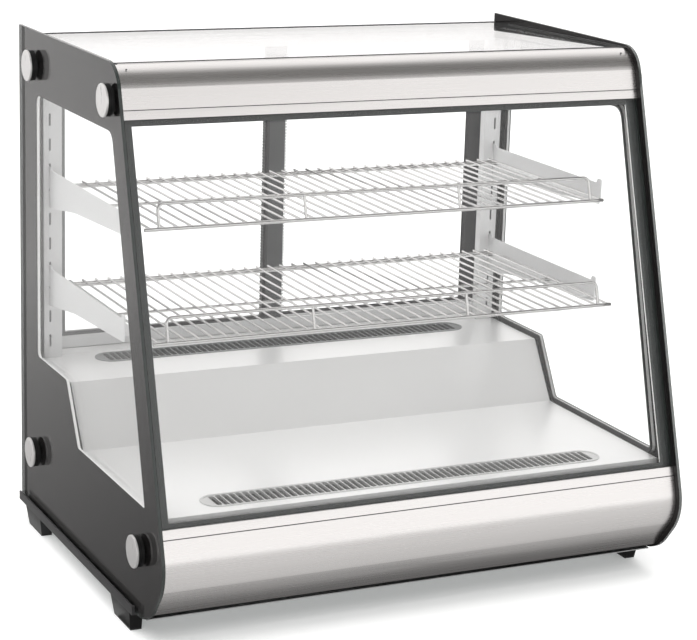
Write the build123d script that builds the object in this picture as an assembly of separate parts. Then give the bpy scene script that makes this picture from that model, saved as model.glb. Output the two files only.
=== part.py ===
"""Counter-top hot food display case: a heated base under a stepped deck, glass on
all sides, two wire shelves on hook-in brackets and two sliding doors at the back.

Millimetres. X runs across the case, -Y is the customer's side, +Z is up. The origin
is on the counter under the middle of the case.
"""
from build123d import *
import os
from math import cos, hypot, radians, sin

# Overall size
HEIGHT = 686.0          # top edge of the side glasses
REAR_Y = 280.0          # rear edge of the side glasses
GLASS_HALF = 361.0      # outer face of each side glass, from the middle plane
FOOT_HEIGHT = 25.0
GLASS_BOTTOM = 28.0

# Side outline: sloping front, then a chin that runs back under the front panel
FRONT_TOP_Y = -103.8
FRONT_SLOPE = 0.30224
CHIN_Z = 97.5
CHIN_END_Y = -227.0
TOP_RADIUS = 40.0
CHIN_RADIUS = 60.0
HEEL_RADIUS = 70.0

# Side glazing, from outside to inside
SIDE_PANE = 4.0
PRINT = 0.3             # thickness of the printed black border
SIDE_GAP = 4.0
MASK_X = GLASS_HALF - SIDE_PANE - PRINT
SPACER_X = MASK_X - SIDE_GAP
INNER_PANE_X = SPACER_X - 4.0
WALL_X = MASK_X - 0.3   # outer face of the sheet parts between the side glasses
SHEET = 1.2

# Clear window in each side glass: (y, z, corner radius)
WINDOW = ((217.0, 601.0, 12.0), (-80.0, 601.0, 18.0), (-203.5, 167.5, 3.0),
          (47.6, 167.5, 6.0), (94.8, 246.5, 6.0), (217.0, 246.5, 8.0))
SPACER_WIDTH = 8.0

# Round glass clamps: (y, z) of each
CLAMPS = ((218.0, 640.0), (-82.0, 640.0), (213.0, 113.0), (-197.0, 113.0))
DISC_R = 20.3
COLLAR_R = 19.7
COLLAR_DEPTH = 7.6
COLLAR_GROOVES = (2.2, 4.6)
DISC_DEPTH = 2.4
STUD_R = 3.0
NUT_DEPTH = 5.0

# Front glazing and panels, as distances in from the side outline
PANEL_INSET = 8.4
CLAMP_STRIP = 2.5
FRONT_PANE = 5.0
FRONT_GAP = 8.0
FRONT_INNER = 4.0
FRONT_PANE_INSET = PANEL_INSET + CLAMP_STRIP + 0.1
PANEL_TOP = 683.0
PANEL_TOP_RADIUS = 38.0
PANEL_CHIN_RADIUS = 51.6
PANEL_BOTTOM = 39.0
PANEL_REAR_Y = -77.0
UPPER_STRIP = (620.3, 630.6)
LOWER_STRIP = (145.4, 156.5)
SEAM = 1.0
FRONT_WINDOW_X = 342.5
FRONT_WINDOW_Z = (160.8, 611.4)

# Top glass: it falls a little to the rear
TOP_GLASS = 5.0
TOP_GLASS_FRONT = (-75.8, 682.2)
TOP_GLASS_REAR_Z = 673.2

# Stepped deck
DECK_HALF = 348.2
LOWER_DECK_Z = 161.4
UPPER_DECK_Z = 240.0
RISER_FOOT_Y = 50.5
RISER_TOP_Y = 102.0
DECK_FRONT_Y = -229.0
DECK_REAR_Y = 241.0
VENT_LENGTH = 560.0
VENT_WIDTH = 46.0
VENT_RIM = 3.6
VENT_PITCH = 9.0
VENT_SLOT = 7.6
FRONT_VENT_Y = -190.0
REAR_VENT_Y = 202.0

# Shelves
SHELF_Z = (485.0, 351.0)
SHELF_FRONT_Y = (-100.0, -134.0)
SHELF_REAR_Y = 204.0
SHELF_HALF = 322.0
WIRE_COUNT = 36
WIRE_R = 1.5
CROSS_R = 2.0
EDGE_R = 2.5
EDGE_DROP = 1.9         # the edge bar's axis under the long wires' axis
GUARD_HALF = 303.0
GUARD_HEIGHT = 28.0
GUARD_LEAN = 8.0
GUARD_BEND = 8.0
GUARD_R = 2.2
POST_R = 1.8
POST_GAPS = 6           # the posts stand this many wire gaps from the middle

# Slotted uprights and hook-in brackets
UPRIGHT_X = (319.6, 345.0)
UPRIGHT_FACE_Y = 226.0
UPRIGHT_TOP = 654.0
SLOT_X = 336.0
SLOT_PITCH = 33.5
SLOT_TOP_Z = 633.0
SLOT_COUNT = 12
SLOT_HEIGHT = 17.0
SLOT_WIDTH = 3.0
BRACKET_PLATE = 1.6
BRACKET_FRONT_Y = -72.0
HOOK_RISE = 14.5        # the upper hook's slot over the shelf's long wires

# Rear doorway and doors
JAMB_X = 338.0
TRACK_Y = (241.0, 271.0)
SILL_Z = (248.0, 256.0, 264.0)
HEADER_Z = (652.0, 663.5, 668.0)
DOOR_Z = (256.5, 662.0)
DOOR_DEPTH = 9.4
INNER_DOOR_Y = 245.0
OUTER_DOOR_Y = 257.6
DOOR_EDGE_X = 337.0
DOOR_LAP_X = 12.0
JAMB_STILE = 26.0
LAP_STILE = 24.0
DOOR_RAIL = 8.0
DOOR_GLASS = 5.0
GLASS_BITE = 4.0
PULL = (14.0, 5.4, 120.0)
PULL_Z = 460.0

# Rear panel and controls
PANEL_REAR = (270.8, 272.0)
REAR_PANEL_Z = (29.4, 248.0)
PANEL_SCREW_X = 349.2
PANEL_SCREW_Z = (52.0, 132.0, 222.0)
AIR_SLOT = (70.0, 5.0)  # length and height of each slot in the rear panel
AIR_SLOT_X = (-40.0, 50.0, 140.0)
AIR_SLOT_Z = range(70, 211, 14)
FLOOR_SLOT = (60.0, 6.0)
FLOOR_SLOT_X = (-200, -120, 120, 200)
FLOOR_SLOT_Y = (-80, -60, -40, 60, 80, 100)
CONTROL_X = (-318.0, -118.0)
CONTROL_Z = (178.0, 236.0)
CONTROL_FACE_Y = 273.5
CONTROLLER = (-262.0, 207.0, 78.0, 35.0)
BEZEL_FACE_Y = 276.6
KEY_X = (-274.0, -283.0, -292.0)
KEY_Z = 200.5
KEY = (6.6, 5.6)
KEY_CLEAR = 0.2
SWITCH_X = (-186.0, -152.0)
SWITCH_Z = 207.0
ROCKER = (12.0, 17.2)
ROCKER_PIVOT_Y = 273.2
ROCKER_TILT = 9.0
GLAND = (300.0, 62.0)
GLAND_BORE_R = 4.2

# Hot air circulation in the base
DUCT_Y = (-222.0, 246.0)
DUCT_FLOOR_Z = 100.0
DUCT_HALF = 344.0
FAN_X = 140.0
FAN_SIZE = 80.0
FAN_DEPTH = 25.0
FAN_TOP_Z = UPPER_DECK_Z - 3.2
SHAFT_R = 1.5
SHAFT_CLEARANCE = 0.05
ELEMENT_R = 4.0
ELEMENT_Z = 132.0
ELEMENT_ROWS = (60.0, 20.0, -20.0, -60.0)

# Feet: (y low, y high) of each sole
FOOT_SOLES = ((-170.0, -111.0), (187.0, 242.0))
FOOT_X = (347.4, 361.9, 365.1)
RAIL_X = (338.0, 362.9, 365.1)
RAIL_Y = (-183.0, 278.5)
RAIL_TOP = 36.7


def front_y(z, inset=0.0):
    """Y of the sloping front at height z, moved in by inset along its normal."""
    return FRONT_TOP_Y - FRONT_SLOPE * (HEIGHT - z) + inset * hypot(1, FRONT_SLOPE)


CHIN_SLOPE = (CHIN_END_Y - front_y(CHIN_Z)) / (CHIN_Z - GLASS_BOTTOM)


def chin_y(z, inset=0.0):
    """Y of the chin at height z, moved in by inset along its normal."""
    return CHIN_END_Y - CHIN_SLOPE * (z - GLASS_BOTTOM) + inset * hypot(1, CHIN_SLOPE)


def corner_z(inset):
    """Height at which the moved-in front and chin lines cross."""
    shift = inset * (hypot(1, CHIN_SLOPE) - hypot(1, FRONT_SLOPE))
    rise = CHIN_END_Y + CHIN_SLOPE * GLASS_BOTTOM - FRONT_TOP_Y + FRONT_SLOPE * HEIGHT
    return (rise + shift) / (FRONT_SLOPE + CHIN_SLOPE)


def rounded(corners):
    """Closed face through (u, v, radius) corners."""
    face = make_face(Polyline(*[(u, v) for u, v, _ in corners], close=True))
    for u, v, radius in corners:
        if radius:
            face = fillet(face.vertices().sort_by_distance(Vector(u, v))[0], radius)
    return face


def plain(*points):
    """Closed face with sharp corners."""
    return make_face(Polyline(*points, close=True))


def across(face, x0, x1):
    """Body with a (y, z) face as its section, from x0 to x1."""
    return extrude(Plane.YZ.offset(x0) * face, amount=x1 - x0)


def block(x0, x1, y0, y1, z0, z1):
    """Box between two corners."""
    return Pos(x0, y0, z0) * Box(x1 - x0, y1 - y0, z1 - z0, align=Align.MIN)


def rod_x(radius, x0, x1, y, z):
    """Round bar along X."""
    bar = Cylinder(radius, x1 - x0, align=(Align.CENTER, Align.CENTER, Align.MIN))
    return Pos(x0, y, z) * Rot(0, 90, 0) * bar


def rod_y(radius, y0, y1, x, z):
    """Round bar along Y."""
    bar = Cylinder(radius, y1 - y0, align=(Align.CENTER, Align.CENTER, Align.MIN))
    return Pos(x, y0, z) * Rot(-90, 0, 0) * bar


def rod_z(radius, z0, z1, x, y):
    """Round bar along Z."""
    bar = Cylinder(radius, z1 - z0, align=(Align.CENTER, Align.CENTER, Align.MIN))
    return Pos(x, y, z0) * bar


def both_sides(part):
    """The part and its mirror image, as separate solids."""
    return Compound(children=[part, mirror(part, about=Plane.YZ)])


def outline(inset, top_z, bottom_z, rear_y, top_radius, chin_radius, heel_radius=0.0):
    """Side outline of the case, moved in from the edge of the side glass."""
    bend = corner_z(inset)
    return rounded(((rear_y, bottom_z, 0.0), (rear_y, top_z, 0.0),
                    (front_y(top_z, inset), top_z, top_radius),
                    (front_y(bend, inset), bend, chin_radius),
                    (chin_y(bottom_z, inset), bottom_z, heel_radius)))


def front_sheet(inset, thickness, top_z, z_low, z_high):
    """Section of a skin that follows the front, between two heights."""
    skin = outline(inset, top_z, 0.0, REAR_Y, PANEL_TOP_RADIUS, PANEL_CHIN_RADIUS)
    core = outline(inset + thickness, top_z - thickness, -60.0, REAR_Y + 60.0,
                   PANEL_TOP_RADIUS - thickness, PANEL_CHIN_RADIUS - thickness)
    keep = plain((-REAR_Y - 40, z_low), (PANEL_REAR_Y, z_low),
                 (PANEL_REAR_Y, z_high), (-REAR_Y - 40, z_high))
    return (skin - core) & keep


def slanted(inset, thickness, z_low, z_high):
    """Section of a flat pane parallel to the sloping front."""
    return plain((front_y(z_low, inset), z_low), (front_y(z_low, inset + thickness), z_low),
                 (front_y(z_high, inset + thickness), z_high), (front_y(z_high, inset), z_high))


# --- side glasses ---------------------------------------------------------------

def side_outline():
    return outline(0.0, HEIGHT, GLASS_BOTTOM, REAR_Y, TOP_RADIUS, CHIN_RADIUS, HEEL_RADIUS)


def window_face(grow=0.0):
    face = rounded(WINDOW)
    return offset(face, amount=grow) if grow else face


def clamp_holes(part, radius):
    for y, z in CLAMPS:
        part -= rod_x(radius, 300.0, 400.0, y, z)
    return part


def side_glass():
    return clamp_holes(across(side_outline(), GLASS_HALF - SIDE_PANE, GLASS_HALF), 4.5)


def side_border():
    border = side_outline() - window_face()
    return clamp_holes(across(border, MASK_X, MASK_X + PRINT), 4.5)


def side_inner_glass():
    return both_sides(across(window_face(SPACER_WIDTH), INNER_PANE_X, SPACER_X))


def side_glass_spacers():
    ring = window_face(SPACER_WIDTH) - window_face(1.0)
    return both_sides(across(ring, SPACER_X, MASK_X))


def clamp_discs():
    rims = Cylinder(DISC_R, DISC_DEPTH).edges().filter_by(GeomType.CIRCLE).sort_by(Axis.Z)
    disc = fillet(rims[-1], 0.9)
    start = GLASS_HALF + COLLAR_DEPTH
    right = [Pos(start + DISC_DEPTH / 2, y, z) * Rot(0, 90, 0) * disc for y, z in CLAMPS]
    return Compound(children=right + [mirror(d, about=Plane.YZ) for d in right])


def clamp_collars():
    right = []
    for y, z in CLAMPS:
        collar = rod_x(COLLAR_R, GLASS_HALF, GLASS_HALF + COLLAR_DEPTH, y, z)
        for groove in COLLAR_GROOVES:
            start = GLASS_HALF + groove
            ring = rod_x(COLLAR_R + 1, start, start + 0.8, y, z)
            ring -= rod_x(COLLAR_R - 0.7, start - 1, start + 2, y, z)
            collar -= ring
        right.append(collar - rod_x(STUD_R + 0.1, 350.0, 380.0, y, z))
    return Compound(children=right + [mirror(c, about=Plane.YZ) for c in right])


def clamp_studs():
    right = []
    for y, z in CLAMPS:
        stud = rod_x(STUD_R, WALL_X - 10.0, GLASS_HALF + COLLAR_DEPTH, y, z)
        nut = extrude(RegularPolygon(5.6, 6), amount=NUT_DEPTH)
        nut = Pos(WALL_X - SHEET - NUT_DEPTH, y, z) * Rot(0, 90, 0) * nut
        right.append(stud + nut)
    return Compound(children=right + [mirror(s, about=Plane.YZ) for s in right])


def side_rail(side):
    """Channel that the lower edge of a side glass stands in."""
    lip_in, lip_out = RAIL_X[1], RAIL_X[2]
    front, rear = RAIL_Y
    rail = block(RAIL_X[0], lip_out, front, rear, FOOT_HEIGHT, GLASS_BOTTOM)
    rail += block(lip_in, lip_out, front, rear, GLASS_BOTTOM, RAIL_TOP)
    rail += block(GLASS_HALF + 0.2, lip_out, front, front + 2.5, GLASS_BOTTOM, RAIL_TOP)
    return rail if side > 0 else mirror(rail, about=Plane.YZ)


def feet():
    right = []
    for low, high in FOOT_SOLES:
        sole = plain((FOOT_X[0], low), (FOOT_X[1], low), (FOOT_X[1], high), (FOOT_X[0], high))
        top = plain((FOOT_X[0], low - 4), (FOOT_X[2], low - 4),
                    (FOOT_X[2], high + 6), (FOOT_X[0], high + 6))
        right.append(loft([sole, Pos(0, 0, FOOT_HEIGHT) * top]))
    return Compound(children=right + [mirror(f, about=Plane.YZ) for f in right])


# --- base -----------------------------------------------------------------------

def base_pan():
    inner = WALL_X - SHEET
    pan = block(-WALL_X, WALL_X, chin_y(GLASS_BOTTOM, 12.0), PANEL_REAR[0],
                GLASS_BOTTOM, GLASS_BOTTOM + SHEET)
    wall = outline(31.0, LOWER_STRIP[1], GLASS_BOTTOM, PANEL_REAR[0], 0.0, 10.0)
    wall += plain((40, GLASS_BOTTOM), (PANEL_REAR[0], GLASS_BOTTOM), (PANEL_REAR[0], 236),
                  (107, 236), (59.5, LOWER_STRIP[1]), (40, LOWER_STRIP[1]))
    side = across(wall, inner, WALL_X)
    side += block(343.0, WALL_X, PANEL_REAR[0] - SHEET, PANEL_REAR[0], 34.0, 236.0)
    side = clamp_holes(side, STUD_R + 0.4)
    for z in PANEL_SCREW_Z:
        side -= rod_y(1.75, 260.0, 280.0, PANEL_SCREW_X, z)
    pan += side
    pan += mirror(side, about=Plane.YZ)
    slot = extrude(SlotOverall(*FLOOR_SLOT), amount=9, both=True)
    slots = [Pos(x, y, GLASS_BOTTOM) * slot for x in FLOOR_SLOT_X for y in FLOOR_SLOT_Y]
    return pan - slots



def control_cutouts():
    """Openings for the controller and the two switches, through panel and plate."""
    cx, cz, w, h = CONTROLLER
    cuts = block(cx - w / 2 + 3, cx + w / 2 - 3, 250, 290, cz - h / 2 + 3, cz + h / 2 - 3)
    for x in SWITCH_X:
        cuts += block(x - 7.2, x + 7.2, 250, 290, SWITCH_Z - 10.6, SWITCH_Z + 10.6)
    return cuts


def rear_panel():
    low, high = PANEL_REAR
    panel = block(-WALL_X, WALL_X, low, high, *REAR_PANEL_Z)
    panel += block(-WALL_X, WALL_X, TRACK_Y[0] + 2, low, REAR_PANEL_Z[1] - SHEET, REAR_PANEL_Z[1])
    panel -= control_cutouts()
    for x in (PANEL_SCREW_X, -PANEL_SCREW_X):
        for z in PANEL_SCREW_Z:
            panel -= rod_y(2.1, 260, 280, x, z)
    panel -= rod_y(8.1, 260, 280, *GLAND)
    slot = Rot(90, 0, 0) * extrude(SlotOverall(*AIR_SLOT), amount=20, both=True)
    slots = [Pos(x, high, z) * slot for x in AIR_SLOT_X for z in AIR_SLOT_Z]
    return panel - slots


def rear_panel_screws():
    screws = []
    for x in (PANEL_SCREW_X, -PANEL_SCREW_X):
        for z in PANEL_SCREW_Z:
            head = fillet(Cylinder(3.8, 2.4).edges().sort_by(Axis.Z)[-1], 1.1)
            head = Pos(x, PANEL_REAR[1] + 1.2, z) * Rot(-90, 0, 0) * head
            shank = rod_y(1.6, PANEL_REAR[1] - 9, PANEL_REAR[1] + 0.5, x, z)
            cross = block(x - 2.2, x + 2.2, 273.6, 275, z - 0.4, z + 0.4)
            cross += block(x - 0.4, x + 0.4, 273.6, 275, z - 2.2, z + 2.2)
            screws.append(head + shank - cross)
    return Compound(children=screws)


def cable_gland():
    x, z = GLAND
    hexagon = Rot(-90, 0, 0) * extrude(RegularPolygon(12.0, 6), amount=4.0)
    gland = Pos(x, PANEL_REAR[1], z) * hexagon + rod_y(9.0, 276, 279.6, x, z)
    gland += rod_y(8.0, 262, 272.5, x, z)
    gland += Pos(x, PANEL_REAR[0] - 4.0, z) * hexagon
    return gland - rod_y(GLAND_BORE_R, 250, 290, x, z)


# --- front ----------------------------------------------------------------------

def upper_front_panel():
    section = front_sheet(PANEL_INSET, SHEET, PANEL_TOP, UPPER_STRIP[1] + SEAM, 700.0)
    glass_y, glass_z = TOP_GLASS_FRONT
    seat_z = glass_z - TOP_GLASS - 0.2
    section += plain((PANEL_REAR_Y - SHEET, 682.0), (PANEL_REAR_Y, 682.0), (PANEL_REAR_Y, seat_z),
                     (PANEL_REAR_Y + 22, seat_z - 0.6), (PANEL_REAR_Y + 22, seat_z - 1.8),
                     (PANEL_REAR_Y - SHEET, seat_z - SHEET))
    return across(section, -WALL_X, WALL_X)


def glass_strip(z_range):
    """Bright strip that covers the edge of the front glass."""
    section = slanted(PANEL_INSET, CLAMP_STRIP, *z_range)
    return across(section, -WALL_X, WALL_X)


def lower_front_panel():
    section = front_sheet(PANEL_INSET, SHEET, PANEL_TOP, PANEL_BOTTOM, LOWER_STRIP[0] - SEAM)
    return across(section, -WALL_X, WALL_X)


def front_glass_outer():
    return across(slanted(FRONT_PANE_INSET, FRONT_PANE, 138.0, 640.0), -WALL_X, WALL_X)


def front_ring(inset, thickness, half, z_range, open_half, open_z):
    ring = across(slanted(inset, thickness, *z_range), -half, half)
    return ring - across(slanted(inset - 1, thickness + 2, *open_z), -open_half, open_half)


def front_glass_border():
    return front_ring(FRONT_PANE_INSET + FRONT_PANE, PRINT, WALL_X, (138.0, 640.0),
                      FRONT_WINDOW_X, FRONT_WINDOW_Z)


def front_glass_spacer():
    return front_ring(FRONT_PANE_INSET + FRONT_PANE + PRINT, FRONT_GAP, 354.0, (145.0, 624.0),
                      346.0, (154.0, 615.0))


def front_glass_inner():
    inset = FRONT_PANE_INSET + FRONT_PANE + PRINT + FRONT_GAP
    return across(slanted(inset, FRONT_INNER, 145.0, 624.0), -354.0, 354.0)


def top_glass():
    y, z = TOP_GLASS_FRONT
    section = plain((y, z), (REAR_Y, TOP_GLASS_REAR_Z), (REAR_Y, TOP_GLASS_REAR_Z - TOP_GLASS),
                    (y, z - TOP_GLASS))
    return across(section, -WALL_X, WALL_X)


def top_z(y):
    """Underside of the top glass."""
    front, z = TOP_GLASS_FRONT
    return z - TOP_GLASS - (z - TOP_GLASS_REAR_Z) * (y - front) / (REAR_Y - front)


def top_glass_supports():
    front, rear = -52.0, 240.0
    ledge = plain((front, top_z(front) - 0.2), (rear, top_z(rear) - 0.2),
                  (rear, top_z(rear) - 1.6), (front, top_z(front) - 1.6))
    web = plain((front, top_z(front) - 0.2), (rear, top_z(rear) - 0.2),
                (rear, top_z(rear) - 12.0), (front, top_z(front) - 12.0))
    inner = WALL_X - SHEET
    angle = across(ledge, WALL_X - 12.0, WALL_X) + across(web, inner, WALL_X)
    y, z = CLAMPS[0]
    angle += block(inner, WALL_X, y - 18, y + 18, z - 16, top_z(y) - 4)
    y, z = CLAMPS[1]
    tab = plain((y - 14, z - 16), (y + 20, z - 16), (y + 52, z + 24),
                (y + 52, z + 33), (y + 2, z + 33), (y - 14, z + 25))
    angle += across(tab, inner, WALL_X)
    return both_sides(clamp_holes(angle, STUD_R + 0.4))


def led_housing():
    channel = block(-300, 300, -75, -57, 663, 674.6)
    return channel - block(-298, 298, -73.4, -58.6, 660, 672)


def led_lens():
    lens = rod_x(9.0, -297.8, 297.8, -66, 669) & block(-298, 298, -73.2, -58.8, 658, 665.5)
    return lens


# --- deck -----------------------------------------------------------------------

def vent_face(length, width):
    return SlotOverall(length, width)


def deck():
    half = SHEET / 2
    path = Polyline((DECK_FRONT_Y, 149.0), (DECK_FRONT_Y, LOWER_DECK_Z - half),
                    (RISER_FOOT_Y, LOWER_DECK_Z - half), (RISER_TOP_Y, UPPER_DECK_Z - half),
                    (DECK_REAR_Y - half, UPPER_DECK_Z - half), (DECK_REAR_Y - half, 247.0))
    plate = across(trace(path, SHEET), -DECK_HALF, DECK_HALF)
    for y, z in ((FRONT_VENT_Y, LOWER_DECK_Z), (REAR_VENT_Y, UPPER_DECK_Z)):
        hole = vent_face(VENT_LENGTH - 2 * VENT_RIM + 0.6, VENT_WIDTH - 2 * VENT_RIM + 0.6)
        plate -= Pos(0, y, z) * extrude(hole, amount=4, both=True)
    return plate


def vent_grille(y, z):
    """Oblong insert with a raised rim and a row of round-ended slots."""
    rim = extrude(vent_face(VENT_LENGTH, VENT_WIDTH), amount=1.2)
    rim = chamfer(rim.edges().group_by(Axis.Z)[-1], 0.5)
    seat = vent_face(VENT_LENGTH - 2 * VENT_RIM, VENT_WIDTH - 2 * VENT_RIM)
    rim -= Pos(0, 0, 0.6) * extrude(seat, amount=2)
    insert = extrude(seat, amount=-3.0)
    insert += extrude(seat, amount=0.6)
    slot_length = VENT_WIDTH - 2 * VENT_RIM - 1.6
    end = (VENT_LENGTH - 2 * VENT_RIM) / 2
    radius = (VENT_WIDTH - 2 * VENT_RIM) / 2
    last = int((end - 8.0) / VENT_PITCH)
    slots = []
    for i in range(-last, last + 1):
        reach = abs(i * VENT_PITCH) + VENT_SLOT / 2 - (end - radius)
        length = slot_length
        if reach > 0:
            length = 2 * (radius ** 2 - reach ** 2) ** 0.5 - 2.0
        if length > VENT_SLOT + 1:
            slots.append(Pos(i * VENT_PITCH, 0) * Rot(0, 0, 90) * SlotOverall(length, VENT_SLOT))
    cut = extrude(Sketch() + slots, amount=12, both=True)
    return Pos(0, y, z) * (rim + insert - cut)


# --- shelves --------------------------------------------------------------------

def upright():
    x0, x1 = UPRIGHT_X
    face = UPRIGHT_FACE_Y
    web = block(x0, x1, face, face + 1.4, UPPER_DECK_Z, UPRIGHT_TOP)
    web += block(x0, x0 + 1.4, face, TRACK_Y[0] - 1.4, UPPER_DECK_Z, UPRIGHT_TOP)
    web += block(x1 - 1.4, x1, face, TRACK_Y[0] - 1.4, UPPER_DECK_Z, UPRIGHT_TOP)
    slot = extrude(SlotOverall(SLOT_HEIGHT, SLOT_WIDTH), amount=4, both=True)
    slot = Rot(90, 0, 0) * Rot(0, 0, 90) * slot
    slots = [Pos(SLOT_X, face, SLOT_TOP_Z - i * SLOT_PITCH) * slot for i in range(SLOT_COUNT)]
    return web - slots


def bracket(shelf_z):
    """Hook-in bracket: a tapering plate with a ledge and a raised front tip."""
    rear = UPRIGHT_FACE_Y - 0.2
    front = BRACKET_FRONT_Y
    plate = rounded(((rear, shelf_z - 38, 0), (rear, shelf_z + 14, 4),
                     (front + 12, shelf_z + 14, 0), (front + 9, shelf_z + 20, 2),
                     (front, shelf_z + 20, 3), (front, shelf_z - 14, 6), (120, shelf_z - 24, 0)))
    x0 = SLOT_X - BRACKET_PLATE / 2
    part = across(plate, x0, x0 + BRACKET_PLATE)
    ledge_top = shelf_z - WIRE_R - 2 * CROSS_R - 0.1
    part += block(SLOT_X - 22, x0 + 0.5, front + 4, rear - 30, ledge_top - BRACKET_PLATE, ledge_top)
    for slot_z in (shelf_z + HOOK_RISE, shelf_z + HOOK_RISE - SLOT_PITCH):
        hook = plain((rear - 8, slot_z - 6), (rear - 8, slot_z + 3), (rear + 4.4, slot_z + 3),
                     (rear + 4.4, slot_z - 12), (rear + 2.2, slot_z - 12), (rear + 2.2, slot_z - 6))
        part += across(hook, x0, x0 + BRACKET_PLATE)
    return both_sides(part)


def shelf(shelf_z, front):
    """Welded wire shelf: long wires on cross wires, with a low guard rail."""
    half = SHELF_HALF
    under = shelf_z - WIRE_R - CROSS_R + 0.3
    pieces = [rod_x(CROSS_R, -half, half, y, under) for y in (SHELF_REAR_Y - 4, SHELF_REAR_Y - 16)]
    pieces += [rod_x(CROSS_R, -half, half, 58.0 + (front + 100), under)]
    edge_z = shelf_z - EDGE_DROP
    pieces += [rod_x(EDGE_R, -half, half, front, edge_z)]
    step = 2 * (half - 6) / (WIRE_COUNT - 1)
    for i in range(WIRE_COUNT):
        pieces.append(rod_y(WIRE_R, front - 1.5, SHELF_REAR_Y, -half + 6 + i * step, shelf_z))
    top = shelf_z + GUARD_HEIGHT
    rail = FilletPolyline((-GUARD_HALF, front, edge_z), (-GUARD_HALF, front + GUARD_LEAN, top),
                          (GUARD_HALF, front + GUARD_LEAN, top), (GUARD_HALF, front, edge_z),
                          radius=GUARD_BEND)
    pieces.append(sweep(Plane(rail @ 0, z_dir=rail % 0) * Circle(GUARD_R), path=rail))
    for x in (-POST_GAPS * step, POST_GAPS * step):
        post = Line((x, front, edge_z), (x, front + GUARD_LEAN, top))
        pieces.append(sweep(Plane(post @ 0, z_dir=post % 0) * Circle(POST_R), path=post))
    return pieces[0].fuse(*pieces[1:])


# --- rear doorway ---------------------------------------------------------------

def track(z_low, z_high, z_lip):
    """Two-groove track: a base from z_low to z_high and three ribs up to z_lip."""
    y0, y1 = TRACK_Y
    base = block(-JAMB_X, JAMB_X, y0, y1, min(z_low, z_high), max(z_low, z_high))
    ribs = ((y0, INNER_DOOR_Y - 0.7),
            (INNER_DOOR_Y + DOOR_DEPTH + 0.6, OUTER_DOOR_Y - 0.6),
            (OUTER_DOOR_Y + DOOR_DEPTH + 0.7, y1))
    for low, high in ribs:
        base += block(-JAMB_X, JAMB_X, low, high, min(z_high, z_lip), max(z_high, z_lip))
    return base


def door_jambs():
    y0, y1 = TRACK_Y
    jamb = block(JAMB_X, WALL_X, y0, y1, SILL_Z[0], top_z(y1) - 0.4)
    jamb -= block(JAMB_X + 2, WALL_X - 2, y0 + 2, y1 - 2, SILL_Z[0] - 5, HEADER_Z[2] + 5)
    return both_sides(jamb)


def door_frame(x0, x1, y0, pull_x):
    """Sliding door frame with a glazing groove and a finger pull in the outer stile."""
    z0, z1 = DOOR_Z
    y1 = y0 + DOOR_DEPTH
    left = JAMB_STILE if pull_x < 0 else LAP_STILE
    right = LAP_STILE if pull_x < 0 else JAMB_STILE
    frame = block(x0, x1, y0, y1, z0, z1)
    frame -= block(x0 + left, x1 - right, y0 - 1, y1 + 1, z0 + DOOR_RAIL, z1 - DOOR_RAIL)
    frame -= door_glass(x0, x1, y0, pull_x)
    width, depth, height = PULL
    groove = block(pull_x - width / 2, pull_x + width / 2, y1 - depth, y1 + 5,
                   PULL_Z - height / 2, PULL_Z + height / 2)
    return frame - fillet(groove.edges().filter_by(Axis.Y), 5.0)


def door_glass(x0, x1, y0, pull_x):
    left = JAMB_STILE if pull_x < 0 else LAP_STILE
    right = LAP_STILE if pull_x < 0 else JAMB_STILE
    middle = y0 + DOOR_DEPTH / 2
    return block(x0 + left - GLASS_BITE, x1 - right + GLASS_BITE,
                 middle - DOOR_GLASS / 2, middle + DOOR_GLASS / 2,
                 DOOR_Z[0] + DOOR_RAIL - GLASS_BITE, DOOR_Z[1] - DOOR_RAIL + GLASS_BITE)


# --- controls -------------------------------------------------------------------

def control_plate():
    y0 = PANEL_REAR[1]
    plate = block(*CONTROL_X, y0, CONTROL_FACE_Y, *CONTROL_Z)
    plate = fillet(plate.edges().filter_by(Axis.Y), 5.0)
    return plate - control_cutouts()


def controller_body():
    cx, cz, w, h = CONTROLLER
    body = block(cx - w / 2, cx + w / 2, CONTROL_FACE_Y, BEZEL_FACE_Y, cz - h / 2, cz + h / 2)
    body = fillet(body.edges().filter_by(Axis.Y), 3.0)
    body += block(cx - w / 2 + 3.2, cx + w / 2 - 3.2, 250, 274, cz - h / 2 + 3.2, cz + h / 2 - 3.2)
    body -= display_block(0.1)
    for x in KEY_X:
        body -= key_block(x, KEY_CLEAR, 269.8, 290)
    return body


def display_block(clear=0.0):
    cx, cz, _, _ = CONTROLLER
    return block(cx - 2 - clear, cx + 34 + clear, BEZEL_FACE_Y - 1.8 - clear,
                 BEZEL_FACE_Y - 0.4 + 9 * clear, cz - 10 - clear, cz + 10 + clear)


def key_block(x, clear, y0, y1):
    w, h = KEY
    return block(x - w / 2 - clear, x + w / 2 + clear, y0, y1,
                 KEY_Z - h / 2 - clear, KEY_Z + h / 2 + clear)


def controller_key(x):
    key = key_block(x, 0.0, 271.2, BEZEL_FACE_Y + 1.0)
    return fillet(key.edges().group_by(Axis.Y)[-1], 0.6)


def switch_bodies():
    housings = []
    for x in SWITCH_X:
        body = block(x - 9.0, x + 9.0, CONTROL_FACE_Y, CONTROL_FACE_Y + 1.8,
                     SWITCH_Z - 12.4, SWITCH_Z + 12.4)
        body = fillet(body.edges().filter_by(Axis.Y), 1.5)
        body += block(x - 7.0, x + 7.0, 256, 274, SWITCH_Z - 10.4, SWITCH_Z + 10.4)
        body -= block(x - 6.3, x + 6.3, 267, 290, SWITCH_Z - 9.5, SWITCH_Z + 9.5)
        housings.append(body)
    return Compound(children=housings)


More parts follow.
